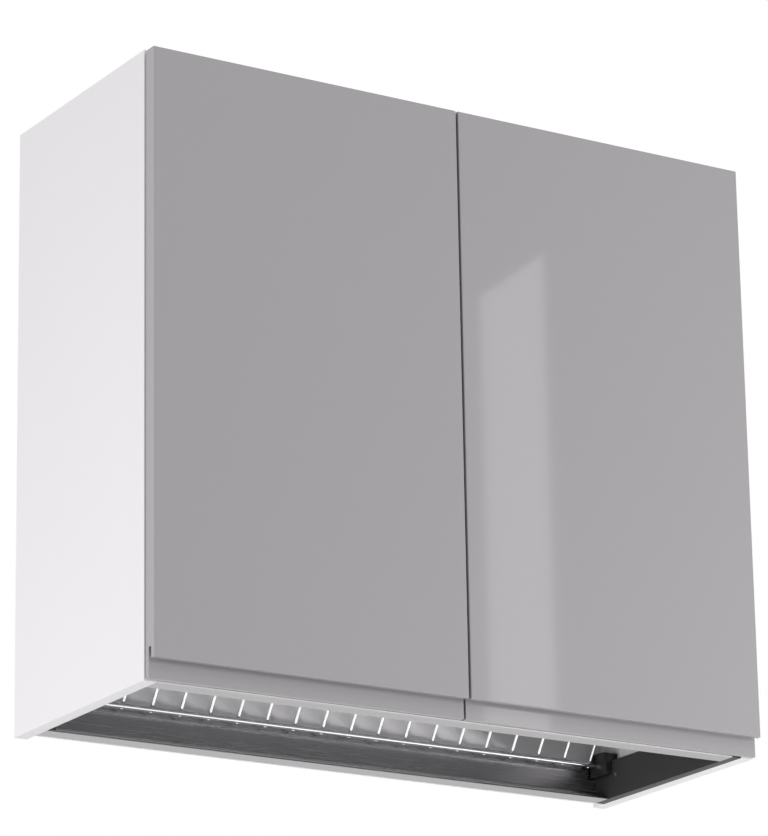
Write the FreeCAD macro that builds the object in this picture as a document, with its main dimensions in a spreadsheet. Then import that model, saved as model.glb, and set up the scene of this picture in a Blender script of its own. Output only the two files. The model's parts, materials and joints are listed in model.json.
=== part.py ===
import FreeCAD, Part
import math
import os
import re
import Sketcher

# Dish drainer wall cabinet, in millimetres. X runs to the right, Y to the wall, Z up.
# The origin is the middle of the whole cabinet's footprint, at the level of its bottom edge.

SIZES = {
    # carcass
    "cabinet_width": 800.0,
    "cabinet_height": 720.0,
    "carcass_depth": 300.0,
    "panel_thickness": 16.0,
    "panel_edge_radius": 0.6,
    "back_thickness": 3.0,
    "back_inset": 17.0,
    "back_groove_depth": 6.0,
    "back_play": 0.5,
    "dowel_radius": 4.0,
    "dowel_length": 30.0,
    "dowel_side_bite": 11.0,
    "dowel_play": 0.5,
    "dowel_offset": 70.0,
    "cam_radius": 7.5,
    "cam_depth": 12.5,
    "cam_reach": 24.0,
    "cam_offset": 40.0,
    "cam_slot_width": 1.8,
    "cam_slot_depth": 2.5,
    "cam_bolt_thread_radius": 3.0,
    "cam_bolt_thread_length": 11.0,
    "cam_bolt_shaft_radius": 2.2,
    "cam_bolt_head_radius": 3.2,
    "cam_bolt_head_length": 3.0,
    "cam_bolt_play": 0.5,
    # doors
    "door_thickness": 18.0,
    "door_standoff": 2.0,
    "door_side_reveal": 1.5,
    "door_middle_gap": 3.0,
    "door_top_reveal": 2.0,
    "door_bottom_reveal": 1.0,
    "door_edge_radius": 1.0,
    "lip_rise": 22.0,
    "lip_thickness": 6.5,
    "strip_thickness": 6.0,
    "finger_groove_rise": 13.0,
    "bumper_radius": 4.0,
    "bumper_gap": 0.2,
    "bumper_side_offset": 30.0,
    # aluminium drainer frame
    "profile_wall": 1.6,
    "profile_corner_radius": 1.5,
    "front_profile_depth": 25.0,
    "front_profile_height": 30.0,
    "rear_profile_depth": 26.0,
    "rear_profile_height": 44.0,
    "rear_profile_setback": 22.0,
    "screw_port_radius": 3.6,
    "screw_port_inset": 7.0,
    "profile_screw_radius": 1.9,
    "profile_screw_head_radius": 3.8,
    "profile_screw_head_length": 2.6,
    "profile_screw_bite": 14.0,
    "end_plate_thickness": 12.0,
    "end_plate_height": 45.0,
    "end_plate_relief": 7.0,
    "end_screw_front_inset": 20.0,
    "end_screw_rear_inset": 42.0,
    "end_screw_height": 28.0,
    "end_screw_radius": 2.0,
    "end_screw_head_radius": 3.5,
    "end_screw_head_length": 2.4,
    "end_screw_bite": 12.0,
    # wire racks
    "rod_radius": 3.0,
    "rod_end_gap": 1.0,
    "rod_bore_depth": 6.0,
    "rod_bore_play": 0.1,
    "wire_radius": 2.25,
    "wire_pitch": 37.5,
    "wire_end_gap": 3.0,
    "weld_depth": 0.2,
    "wire_bend_radius": 8.0,
    "lower_rod_offset": 38.0,
    "lower_rod_height": 42.0,
    "lower_rack_top": 75.0,
    "lower_leg_angle": 56.0,
    "lower_leg_tail": 5.0,
    "plate_rod_offset": 60.0,
    "plate_rod_height": 340.0,
    "plate_wire_tail": 8.0,
    "plate_wire_bend_radius": 6.0,
    "front_hump_height": 45.0,
    "rear_hump_height": 60.0,
    "bracket_inner_reach": 21.0,
    "bracket_outer_reach": 12.0,
    "bracket_drop": 14.0,
    "bracket_rise": 13.5,
    "bracket_corner_radius": 5.5,
    "lower_bracket_thickness": 9.0,
    "plate_bracket_thickness": 14.0,
    "bracket_screw_rise": 8.5,
    "bracket_screw_radius": 1.75,
    "bracket_screw_head_radius": 3.2,
    "bracket_screw_head_length": 2.0,
    "bracket_screw_bite": 10.0,
    # drip tray
    "tray_side_gap": 24.0,
    "tray_front_gap": 45.0,
    "tray_rear_gap": 25.0,
    "tray_height": 22.0,
    "tray_wall": 2.0,
    "tray_rim_width": 5.0,
    "tray_rim_thickness": 2.0,
    "tray_corner_radius": 12.0,
    "tray_rest_gap": 0.2,
    # cabinet hangers
    "hanger_width": 14.0,
    "hanger_depth": 52.0,
    "hanger_height": 64.0,
    "hanger_top_gap": 6.0,
    "hook_thickness": 3.0,
    "hook_bar_height": 10.0,
    "hook_bar_drop": 8.0,
    "hook_bury": 34.0,
    "hook_wall_gap": 2.0,
    "hook_lip_length": 16.0,
    "hook_lip_thickness": 4.0,
    "hook_play": 0.5,
    "hanger_screw_radius": 3.0,
    "hanger_screw_head_radius": 4.5,
    "hanger_screw_head_length": 1.5,
    "hanger_screw_rise": 18.0,
    # concealed hinges
    "hinge_end_offset": 120.0,
    "cup_edge_distance": 22.0,
    "cup_radius": 17.5,
    "cup_wall": 1.0,
    "cup_depth": 12.0,
    "cup_bore_play": 0.1,
    "cup_flange_thickness": 0.8,
    "cup_flange_height": 56.0,
    "cup_flange_width": 30.0,
    "cup_screw_rise": 23.0,
    "cup_screw_inset": 5.0,
    "cup_screw_radius": 1.75,
    "cup_screw_head_radius": 3.2,
    "cup_screw_head_length": 1.4,
    "cup_screw_bite": 10.0,
    "cup_pin_offset": 12.5,
    "cup_pin_depth": 6.0,
    "cup_ear_half_width": 2.4,
    "arm_pin_inset": 13.5,
    "arm_pin_lead": 3.5,
    "arm_nose_radius": 3.4,
    "hinge_pin_radius": 1.2,
    "hinge_pin_play": 0.05,
    "link_sag": 5.6,
    "link_width": 2.0,
    "link_eye_radius": 2.1,
    "link_thickness": 4.0,
    "link_side_gap": 0.3,
    "fork_cheek": 2.7,
    "arm_height": 10.5,
    "arm_half_width": 8.0,
    "arm_start": 14.0,
    "arm_length": 48.0,
    "arm_neck_overlap": 3.0,
    "mount_plate_thickness": 3.5,
    "mount_plate_start": 20.0,
    "mount_plate_length": 38.0,
    "mount_plate_half_height": 10.0,
    "mount_wing_half_width": 5.0,
    "mount_wing_half_height": 24.0,
    "mount_screw_setback": 37.0,
    "mount_screw_rise": 16.0,
    "mount_screw_radius": 2.5,
    "mount_screw_head_radius": 3.6,
    "mount_screw_head_length": 1.8,
    "mount_screw_bite": 11.0,
    "arm_screw_setback": 50.0,
    "arm_screw_radius": 2.0,
    "arm_screw_head_radius": 3.6,
    "arm_screw_head_length": 2.0,
    # how far a cutting tool runs past the face that it opens
    "overrun": 2.0,
}

# Places worked out from the sizes above, in the same sheet.
PLACES = {
    "carcass_front": "(door_standoff + door_thickness - carcass_depth) / 2",
    "carcass_rear": "carcass_front + carcass_depth",
    "outer_left": "-cabinet_width / 2",
    "inner_left": "outer_left + panel_thickness",
    "top_underside": "cabinet_height - panel_thickness",
    "back_rear": "carcass_rear - back_inset",
    "back_front": "back_rear - back_thickness",
    "door_rear": "carcass_front - door_standoff",
    "door_front": "door_rear - door_thickness",
    "door_left": "outer_left + door_side_reveal",
    "door_width": "(cabinet_width - door_middle_gap) / 2 - door_side_reveal",
    "door_top": "cabinet_height - door_top_reveal",
    "groove_top": "lip_rise + finger_groove_rise",
    "plate_inner": "inner_left + end_plate_thickness",
    "frame_rear": "carcass_rear - rear_profile_setback",
    "end_screw_front": "carcass_front + end_screw_front_inset",
    "end_screw_rear": "frame_rear - end_screw_rear_inset",
    "lower_rod_front": "carcass_front + lower_rod_offset",
    "lower_rod_rear": "carcass_rear - lower_rod_offset",
    "plate_rod_front": "carcass_front + plate_rod_offset",
    "plate_rod_rear": "carcass_rear - plate_rod_offset",
    "lower_bracket_face": "plate_inner + lower_bracket_thickness",
    "plate_bracket_face": "inner_left + plate_bracket_thickness",
    "hanger_rise": "top_underside - hanger_top_gap - hanger_height",
    "hanger_front": "back_front - hanger_depth",
    "hook_left": "inner_left + (hanger_width - hook_thickness) / 2",
    "hook_top": "hanger_rise + hanger_height - hook_bar_drop",
    "hook_rear": "carcass_rear - hook_wall_gap",
    "cup_axis": "door_left + cup_edge_distance",
    "cup_bottom": "door_rear - cup_depth",
    "cup_face": "door_rear + cup_flange_thickness",
    "cup_pin_across": "cup_axis - cup_pin_offset",
    "cup_pin_along": "door_rear - cup_pin_depth",
    "arm_pin_across": "inner_left + arm_pin_inset",
    "arm_pin_along": "carcass_front - arm_pin_lead",
    "fork_half": "link_thickness / 2 + link_side_gap",
    "cheek_half": "fork_half + fork_cheek",
    "mount_face": "inner_left + mount_plate_thickness",
    "arm_face": "mount_face + arm_height",
    "lower_hinge": "hinge_end_offset",
    "upper_hinge": "cabinet_height - hinge_end_offset",
}

doc = FreeCAD.newDocument("dish_drainer_wall_cabinet")
sheet = doc.addObject("Spreadsheet::Sheet", "size")
row = 0
for name, size in SIZES.items():
    row += 1
    sheet.set("A%d" % row, name)
    sheet.set("B%d" % row, str(size))
    sheet.setAlias("B%d" % row, name)
doc.recompute()
for name, place in PLACES.items():
    row += 1
    sheet.set("A%d" % row, name)
    sheet.set("B%d" % row, "=" + place)
    sheet.setAlias("B%d" % row, name)
    doc.recompute()

parts = []
X_AXIS = FreeCAD.Vector(1, 0, 0)
Y_AXIS = FreeCAD.Vector(0, 1, 0)
Z_AXIS = FreeCAD.Vector(0, 0, 1)
TURNS = {
    "x": FreeCAD.Rotation(Y_AXIS, 90),
    "y": FreeCAD.Rotation(X_AXIS, -90),
    "z": FreeCAD.Rotation(),
}


def formula(text):
    """The text with each size named as a cell of the sheet."""
    return re.sub(r"[a-z]\w+", r"size.\g<0>", text)


def number(text):
    return float(sheet.evalExpression(formula(text)))


def bind(thing, **texts):
    for path, text in texts.items():
        thing.setExpression(path.replace("_", "."), formula(text))


def keep(thing, label):
    """Makes the object a sub-part with its own file."""
    thing.Label = label
    parts.append(thing)
    return thing


def block(left, right, front, rear, low, high):
    """A box between six planes."""
    thing = doc.addObject("Part::Box", "block")
    bind(thing, Length="(%s) - (%s)" % (right, left), Width="(%s) - (%s)" % (rear, front),
         Height="(%s) - (%s)" % (high, low), Placement_Base_x=left, Placement_Base_y=front,
         Placement_Base_z=low)
    return thing


def round_bar(axis, radius, start, end, first, second):
    """A cylinder along an axis, from start to end, placed by first and second on the other two axes."""
    thing = doc.addObject("Part::Cylinder", "bar")
    thing.Placement = FreeCAD.Placement(FreeCAD.Vector(), TURNS[axis])
    across = {"x": ("Placement_Base_y", "Placement_Base_z"), "y": ("Placement_Base_x", "Placement_Base_z"),
              "z": ("Placement_Base_x", "Placement_Base_y")}[axis]
    places = {"Placement_Base_" + axis: start, across[0]: first, across[1]: second}
    bind(thing, Radius=radius, Height="(%s) - (%s)" % (end, start), **places)
    return thing


def joined(things):
    """Pieces made as one."""
    if len(things) == 1:
        return things[0]
    thing = doc.addObject("Part::MultiFuse", "joined")
    thing.Shapes = things
    return thing


def group(things):
    """Separate solids that share one node."""
    thing = doc.addObject("Part::Compound", "group")
    thing.Links = things
    return thing


def cut(base, tools):
    thing = doc.addObject("Part::Cut", "cut")
    thing.Base = base
    thing.Tool = joined(tools)
    return thing


def mirrored(source, label):
    """The right-hand piece, from the left-hand one."""
    thing = doc.addObject("Part::Mirroring", "mirrored")
    thing.Source = source
    thing.Base = FreeCAD.Vector()
    thing.Normal = X_AXIS
    return keep(thing, label)


def both_sides(things):
    """The left-hand pieces and their mirror images."""
    pieces = list(things)
    for source in things:
        thing = doc.addObject("Part::Mirroring", "mirrored")
        thing.Source = source
        thing.Base = FreeCAD.Vector()
        thing.Normal = X_AXIS
        pieces.append(thing)
    return pieces


def sketch_on(body, role, offset):
    """A sketch in its body, parallel to an origin plane."""
    drawing = body.newObject("Sketcher::SketchObject", "outline")
    plane = [feature for feature in body.Origin.OriginFeatures if feature.Role == role][0]
    drawing.AttachmentSupport = [(plane, "")]
    drawing.MapMode = "FlatFace"
    bind(drawing, AttachmentOffset_Base_z=offset)
    return drawing


def draw_polygon(drawing, corners):
    """A closed outline whose corners are held by formulas."""
    spots = [FreeCAD.Vector(number(across), number(up), 0) for across, up in corners]
    count = len(spots)
    for index in range(count):
        drawing.addGeometry(Part.LineSegment(spots[index], spots[(index + 1) % count]), False)
    for index in range(count):
        drawing.addConstraint(Sketcher.Constraint("Coincident", index, 2, (index + 1) % count, 1))
    for index, (across, up) in enumerate(corners):
        held = drawing.addConstraint(Sketcher.Constraint("DistanceX", -1, 1, index, 1, spots[index].x))
        drawing.setExpression("Constraints[%d]" % held, formula(across))
        held = drawing.addConstraint(Sketcher.Constraint("DistanceY", -1, 1, index, 1, spots[index].y))
        drawing.setExpression("Constraints[%d]" % held, formula(up))


def draw_rectangle(drawing, left, right, low, high):
    draw_polygon(drawing, [(left, low), (right, low), (right, high), (left, high)])


def draw_circle(drawing, across, up, radius):
    """A circle whose centre and radius are held by formulas."""
    spot = FreeCAD.Vector(number(across), number(up), 0)
    index = drawing.addGeometry(Part.Circle(spot, Z_AXIS, number(radius)), False)
    held = drawing.addConstraint(Sketcher.Constraint("Radius", index, number(radius)))
    drawing.setExpression("Constraints[%d]" % held, formula(radius))
    held = drawing.addConstraint(Sketcher.Constraint("DistanceX", -1, 1, index, 3, spot.x))
    drawing.setExpression("Constraints[%d]" % held, formula(across))
    held = drawing.addConstraint(Sketcher.Constraint("DistanceY", -1, 1, index, 3, spot.y))
    drawing.setExpression("Constraints[%d]" % held, formula(up))


def new_body():
    return doc.addObject("PartDesign::Body", "piece")


def pad(body, drawing, length):
    feature = body.newObject("PartDesign::Pad", "pad")
    feature.Profile = drawing
    bind(feature, Length=length)
    doc.recompute()
    return feature


def pocket(body, drawing, length, reverse):
    """Cuts the outline into the body, and makes sure that it took something away."""
    before = body.Shape.Volume
    feature = body.newObject("PartDesign::Pocket", "pocket")
    feature.Profile = drawing
    feature.Reversed = reverse
    bind(feature, Length=length)
    doc.recompute()
    if body.Shape.Volume >= before:
        raise RuntimeError("a pocket cuts nothing")
    return feature


def round_edges(body, feature, chosen, radius):
    """Rounds the edges that the test chooses."""
    names = ["Edge%d" % (index + 1) for index, edge in enumerate(feature.Shape.Edges) if chosen(edge)]
    rounding = body.newObject("PartDesign::Fillet", "rounding")
    rounding.Base = (feature, names)
    bind(rounding, Radius=radius)
    doc.recompute()
    return rounding


def lies_at(edge, axis, place):
    """True for an edge that lies wholly at one coordinate."""
    near = 1e-4
    return all(abs(getattr(vertex.Point, axis) - place) < near for vertex in edge.Vertexes)


def side_panel():
    """The left side: grooved for the back, drilled for the top, the hinges and the drainer frame."""
    body = new_body()
    outline = sketch_on(body, "YZ_Plane", "outer_left")
    draw_rectangle(outline, "carcass_front", "carcass_rear", "0", "cabinet_height")
    slab = pad(body, outline, "panel_thickness")
    left = number("outer_left")
    round_edges(body, slab, lambda edge: lies_at(edge, "x", left), "panel_edge_radius")
    groove = sketch_on(body, "YZ_Plane", "inner_left")
    draw_rectangle(groove, "back_front", "back_rear", "-overrun", "cabinet_height + overrun")
    pocket(body, groove, "back_groove_depth", False)

    dowels = sketch_on(body, "YZ_Plane", "inner_left")
    bolts = sketch_on(body, "YZ_Plane", "inner_left")
    for start, sign in (("carcass_front", "+"), ("carcass_rear", "-")):
        draw_circle(dowels, "%s %s dowel_offset" % (start, sign), "cabinet_height - panel_thickness / 2",
                    "dowel_radius")
        draw_circle(bolts, "%s %s cam_offset" % (start, sign), "cabinet_height - panel_thickness / 2",
                    "cam_bolt_thread_radius")
    pocket(body, dowels, "dowel_side_bite + dowel_play", False)
    pocket(body, bolts, "cam_bolt_thread_length", False)

    pilots = sketch_on(body, "YZ_Plane", "inner_left")
    for along in ("end_screw_front", "end_screw_rear"):
        draw_circle(pilots, along, "end_screw_height", "end_screw_radius")
    pocket(body, pilots, "end_screw_bite", False)
    racks = sketch_on(body, "YZ_Plane", "inner_left")
    for along in ("lower_rod_front", "lower_rod_rear"):
        draw_circle(racks, along, "lower_rod_height + bracket_screw_rise", "bracket_screw_radius")
    for along in ("plate_rod_front", "plate_rod_rear"):
        draw_circle(racks, along, "plate_rod_height + bracket_screw_rise", "bracket_screw_radius")
    pocket(body, racks, "bracket_screw_bite", False)
    hinges = sketch_on(body, "YZ_Plane", "inner_left")
    for height in ("lower_hinge", "upper_hinge"):
        for sign in ("-", "+"):
            draw_circle(hinges, "carcass_front + mount_screw_setback",
                        "%s %s mount_screw_rise" % (height, sign), "mount_screw_radius")
    pocket(body, hinges, "mount_screw_bite", False)
    return body


def top_panel():
    """The top, between the sides, with its cams let in from above."""
    body = new_body()
    outline = sketch_on(body, "XY_Plane", "top_underside")
    draw_rectangle(outline, "inner_left", "-inner_left", "carcass_front", "carcass_rear")
    slab = pad(body, outline, "panel_thickness")
    groove = sketch_on(body, "XY_Plane", "top_underside")
    draw_rectangle(groove, "inner_left - overrun", "overrun - inner_left", "back_front", "back_rear")
    pocket(body, groove, "back_groove_depth", True)

    cams = sketch_on(body, "XY_Plane", "cabinet_height")
    for start, sign in (("carcass_front", "+"), ("carcass_rear", "-")):
        for side in ("", "-"):
            draw_circle(cams, "%s(inner_left + cam_reach)" % side, "%s %s cam_offset" % (start, sign),
                        "cam_radius")
    pocket(body, cams, "cam_depth", False)
    middle = "cabinet_height - panel_thickness / 2"
    for side, reverse in (("", True), ("-", False)):
        dowels = sketch_on(body, "YZ_Plane", "%s(inner_left)" % side)
        bolts = sketch_on(body, "YZ_Plane", "%s(inner_left)" % side)
        for start, sign in (("carcass_front", "+"), ("carcass_rear", "-")):
            draw_circle(dowels, "%s %s dowel_offset" % (start, sign), middle, "dowel_radius")
            draw_circle(bolts, "%s %s cam_offset" % (start, sign), middle,
                        "cam_bolt_head_radius + cam_bolt_play")
        pocket(body, dowels, "dowel_length - dowel_side_bite + dowel_play", reverse)
        pocket(body, bolts, "cam_reach", reverse)
    return body


def back_panel():
    """The thin back, held in grooves, with a window for each hanging hook."""
    reach = "inner_left - back_groove_depth + back_play"
    sheet_of_board = block(reach, "-(%s)" % reach, "back_front", "back_rear", "back_play",
                           "top_underside + back_groove_depth - back_play")
    window = block("hook_left - hook_play", "hook_left + hook_thickness + hook_play",
                   "back_front - overrun", "back_rear + overrun",
                   "hook_top - hook_bar_height - hook_play", "hook_top + hook_play")
    return cut(sheet_of_board, both_sides([window]))


def top_fasteners():
    """Dowels, cam housings and cam bolts of the two upper corners."""
    middle = "cabinet_height - panel_thickness / 2"
    dowels, cams, bolts = [], [], []
    for start, sign in (("carcass_front", "+"), ("carcass_rear", "-")):
        dowel_along = "%s %s dowel_offset" % (start, sign)
        dowels.append(round_bar("x", "dowel_radius", "inner_left - dowel_side_bite",
                                "inner_left - dowel_side_bite + dowel_length", dowel_along, middle))
        cam_along = "%s %s cam_offset" % (start, sign)
        cam_across = "inner_left + cam_reach"
        cam = round_bar("z", "cam_radius", "cabinet_height - cam_depth", "cabinet_height", cam_across,
                        cam_along)
        head_start = "%s - cam_radius" % cam_across
        head_room = round_bar("x", "cam_bolt_head_radius + cam_bolt_play", "%s - overrun" % head_start,
                              "%s + cam_bolt_head_length + cam_bolt_play" % head_start, cam_along, middle)
        slots = [
            block("%s - cam_radius / 2" % cam_across, "%s + cam_radius / 2" % cam_across,
                  "%s - cam_slot_width / 2" % cam_along, "%s + cam_slot_width / 2" % cam_along,
                  "cabinet_height - cam_slot_depth", "cabinet_height + overrun"),
            block("%s - cam_slot_width / 2" % cam_across, "%s + cam_slot_width / 2" % cam_across,
                  "%s - cam_radius / 2" % cam_along, "%s + cam_radius / 2" % cam_along,
                  "cabinet_height - cam_slot_depth", "cabinet_height + overrun"),
        ]
        cams.append(cut(cam, [head_room] + slots))
        bolts.append(joined([
            round_bar("x", "cam_bolt_thread_radius", "inner_left - cam_bolt_thread_length", "inner_left",
                      cam_along, middle),
            round_bar("x", "cam_bolt_shaft_radius", "inner_left", head_start, cam_along, middle),
            round_bar("x", "cam_bolt_head_radius", head_start, "%s + cam_bolt_head_length" % head_start,
                      cam_along, middle),
        ]))
    keep(group(both_sides(dowels)), "top_dowels")
    keep(group(both_sides(cams)), "cam_housings")
    keep(group(both_sides(bolts)), "cam_bolts")


def profile(front, rear, upright, height):
    """An aluminium angle with a screw port in its corner, which laps over the left end plate."""
    outer, sign = (front, "+") if upright == "front" else (rear, "-")
    foot_end = rear if upright == "front" else front
    inner = "%s %s profile_wall" % (outer, sign)
    body = new_body()
    outline = sketch_on(body, "YZ_Plane", "inner_left")
    draw_polygon(outline, [(outer, "0"), (foot_end, "0"), (foot_end, "profile_wall"),
                           (inner, "profile_wall"), (inner, height), (outer, height)])
    angle = pad(body, outline, "-(inner_left + plate_inner)")
    corner = number(outer)
    round_edges(body, angle, lambda edge: lies_at(edge, "y", corner) and lies_at(edge, "z", 0),
                "profile_corner_radius")
    port = sketch_on(body, "YZ_Plane", "plate_inner")
    draw_circle(port, "%s %s screw_port_inset" % (outer, sign), "screw_port_inset", "screw_port_radius")
    pad(body, port, "-2 * plate_inner")
    web = sketch_on(body, "YZ_Plane", "plate_inner")
    near, far = "%s %s profile_wall / 2" % (outer, sign), "%s %s screw_port_inset" % (outer, sign)
    draw_polygon(web, [(near, "profile_wall / 2"), (far, "profile_wall / 2"), (far, "screw_port_inset"),
                       (near, "screw_port_inset")])
    pad(body, web, "-2 * plate_inner")
    bore = sketch_on(body, "YZ_Plane", "plate_inner")
    draw_circle(bore, "%s %s screw_port_inset" % (outer, sign), "screw_port_inset", "profile_screw_radius")
    pocket(body, bore, "-2 * plate_inner", True)
    return body


def end_plate():
    """A dark plate that closes an end of the drainer frame, drawn at the left."""
    plate = block("inner_left", "plate_inner", "carcass_front", "frame_rear", "0", "end_plate_height")
    tools = []
    for along in ("end_screw_front", "end_screw_rear"):
        tools.append(round_bar("x", "end_screw_radius", "inner_left - overrun", "plate_inner + overrun",
                               along, "end_screw_height"))
        tools.append(round_bar("x", "end_screw_head_radius", "plate_inner - end_screw_head_length",
                               "plate_inner + overrun", along, "end_screw_height"))
    for along in ("carcass_front + screw_port_inset", "frame_rear - screw_port_inset"):
        tools.append(round_bar("x", "profile_screw_radius", "inner_left - overrun",
                               "plate_inner + overrun", along, "screw_port_inset"))
        tools.append(round_bar("x", "profile_screw_head_radius", "inner_left - overrun",
                               "inner_left + profile_screw_head_length", along, "screw_port_inset"))
    return cut(plate, tools)


def frame_screws():
    """Screws of the end plates: into the cabinet's sides, and into the profiles' screw ports."""
    side_screws, profile_screws = [], []
    for along in ("end_screw_front", "end_screw_rear"):
        side_screws.append(joined([
            round_bar("x", "end_screw_radius", "inner_left - end_screw_bite",
                      "plate_inner - end_screw_head_length", along, "end_screw_height"),
            round_bar("x", "end_screw_head_radius", "plate_inner - end_screw_head_length", "plate_inner",
                      along, "end_screw_height"),
        ]))
    for along in ("carcass_front + screw_port_inset", "frame_rear - screw_port_inset"):
        profile_screws.append(joined([
            round_bar("x", "profile_screw_head_radius", "inner_left",
                      "inner_left + profile_screw_head_length", along, "screw_port_inset"),
            round_bar("x", "profile_screw_radius", "inner_left + profile_screw_head_length",
                      "plate_inner + profile_screw_bite", along, "screw_port_inset"),
        ]))
    keep(group(both_sides(side_screws)), "end_plate_screws")
    keep(group(both_sides(profile_screws)), "profile_screws")


def rounded_slab(left, right, front, rear, low, high):
    """A slab with round corners, as seen along X, for a rod's bracket."""
    radius = "bracket_corner_radius"
    pieces = [block(left, right, "%s + %s" % (front, radius), "%s - %s" % (rear, radius), low, high),
              block(left, right, front, rear, "%s + %s" % (low, radius), "%s - %s" % (high, radius))]
    for along in ("%s + %s" % (front, radius), "%s - %s" % (rear, radius)):
        for up in ("%s + %s" % (low, radius), "%s - %s" % (high, radius)):
            pieces.append(round_bar("x", radius, left, right, along, up))
    thing = joined(pieces)
    thing.Refine = True
    return thing


def rod_brackets(height, alongs, face, lower):
    """Black holders of the rods' ends, and their screws; the lower ones hook over the end plates."""
    brackets, screws = [], []
    for along, front_reach, rear_reach in ((alongs[0], "bracket_outer_reach", "bracket_inner_reach"),
                                           (alongs[1], "bracket_inner_reach", "bracket_outer_reach")):
        front, rear = "%s - %s" % (along, front_reach), "%s + %s" % (along, rear_reach)
        low, high = "%s - bracket_drop" % height, "%s + bracket_rise" % height
        if lower:
            bodies = [rounded_slab("plate_inner", face, front, rear, low, high),
                      block("inner_left", "plate_inner", "%s + bracket_corner_radius" % front,
                            "%s - bracket_corner_radius" % rear, "end_plate_height", high)]
        else:
            bodies = [rounded_slab("inner_left", face, front, rear, low, high)]
        screw_height = "%s + bracket_screw_rise" % height
        tools = [
            round_bar("x", "rod_radius + rod_bore_play", "%s - rod_bore_depth" % face,
                      "%s + overrun" % face, along, height),
            round_bar("x", "bracket_screw_radius", "inner_left - overrun", "%s + overrun" % face, along,
                      screw_height),
            round_bar("x", "bracket_screw_head_radius", "%s - bracket_screw_head_length" % face,
                      "%s + overrun" % face, along, screw_height),
        ]
        brackets.append(cut(joined(bodies), tools))
        screws.append(joined([
            round_bar("x", "bracket_screw_radius", "inner_left - bracket_screw_bite",
                      "%s - bracket_screw_head_length" % face, along, screw_height),
            round_bar("x", "bracket_screw_head_radius", "%s - bracket_screw_head_length" % face, face,
                      along, screw_height),
        ]))
    return group(both_sides(brackets)), group(both_sides(screws))


def rods(height, alongs, face):
    """The two rods that run the width of a rack, each end in its bracket."""
    start = "%s - rod_bore_depth + rod_end_gap" % face
    return group([round_bar("x", "rod_radius", start, "-(%s)" % start, along, height) for along in alongs])


def wire_spots(face):
    """Places across the cabinet of a rack's wires, evenly spaced about its middle."""
    pitch = number("wire_pitch")
    room = -2 * number(face) - 2 * (number("wire_radius") + number("wire_end_gap"))
    count = int(room / pitch) + 1
    return [(index - (count - 1) / 2) * pitch for index in range(count)]


def bent_wire(corners, bend, radius):
    """A round wire through corners in the YZ plane, with tangent arcs at its bends."""
    spots = [FreeCAD.Vector(0, along, up) for along, up in corners]
    edges = []
    last = spots[0]
    for before, corner, after in zip(spots, spots[1:], spots[2:]):
        inward = (before - corner).normalize()
        outward = (after - corner).normalize()
        half = inward.getAngle(outward) / 2
        reach = bend / math.tan(half)
        start, end = corner + inward * reach, corner + outward * reach
        middle = (inward + outward).normalize()
        top = corner + middle * (bend / math.sin(half) - bend)
        edges.append(Part.makeLine(last, start))
        edges.append(Part.Arc(start, top, end).toShape())
        last = end
    edges.append(Part.makeLine(last, spots[-1]))
    spine = Part.Wire(edges)
    ring = Part.Wire([Part.makeCircle(radius, spots[0], (spots[1] - spots[0]).normalize())])
    return spine.makePipeShell([ring], True, False)


def row_of_wires(corners, bend, face):
    """One node of equal wires, welded on the rods."""
    wire = bent_wire(corners, bend, number("wire_radius"))
    thing = doc.addObject("Part::Feature", "wires")
    copies = [wire.translated(FreeCAD.Vector(across, 0, 0)) for across in wire_spots(face)]
    thing.Shape = Part.makeCompound(copies)
    thing.Placement = FreeCAD.Placement()
    return thing


def lower_wires():
    """The cradle under the tray: each wire rises from a rod, runs level and drops to the other rod."""
    slope = math.radians(number("lower_leg_angle"))
    reach = number("rod_radius + wire_radius - weld_depth")
    tail, top = number("lower_leg_tail"), number("lower_rack_top")
    rear_along = number("lower_rod_rear") + reach * math.sin(slope)
    rear_up = number("lower_rod_height") + reach * math.cos(slope)
    end_along = rear_along + tail * math.cos(slope)
    end_up = rear_up - tail * math.sin(slope)
    top_along = rear_along - (top - rear_up) / math.tan(slope)
    middle = number("(lower_rod_front + lower_rod_rear) / 2")
    half = [(end_along, end_up), (top_along, top)]
    corners = half + [(2 * middle - along, up) for along, up in reversed(half)]
    return row_of_wires(corners, number("wire_bend_radius"), "lower_bracket_face")


# The plate wire's corners, as shares of the distance between the rods and of the two humps' heights.
PLATE_WIRE_SHARES = ((0.03, 0, 0), (0.10, 1, 0), (0.20, 1, 0), (0.29, 0, 0),
                     (0.70, 0, 0), (0.78, 0, 1), (0.88, 0, 1), (0.96, 0, 0))


def plate_wires():
    """The plate rack: each wire has a low hump in front and a high one behind, and plates stand between."""
    front, rear = number("plate_rod_front"), number("plate_rod_rear")
    base = number("plate_rod_height + rod_radius + wire_radius - weld_depth")
    low_hump, high_hump = number("front_hump_height"), number("rear_hump_height")
    tail = number("plate_wire_tail")
    corners = [(front - tail, base)]
    for along, low, high in PLATE_WIRE_SHARES:
        corners.append((front + along * (rear - front), base + low * low_hump + high * high_hump))
    corners.append((rear + tail, base))
    return row_of_wires(corners, number("plate_wire_bend_radius"), "plate_bracket_face")


def rounded_block(left, right, front, rear, low, high, radius):
    """A box with upright rounded corners."""
    pieces = [block("%s + %s" % (left, radius), "%s - %s" % (right, radius), front, rear, low, high),
              block(left, right, "%s + %s" % (front, radius), "%s - %s" % (rear, radius), low, high)]
    for across in ("%s + %s" % (left, radius), "%s - %s" % (right, radius)):
        for along in ("%s + %s" % (front, radius), "%s - %s" % (rear, radius)):
            pieces.append(round_bar("z", radius, low, high, across, along))
    thing = joined(pieces)
    thing.Refine = True
    return thing


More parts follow.
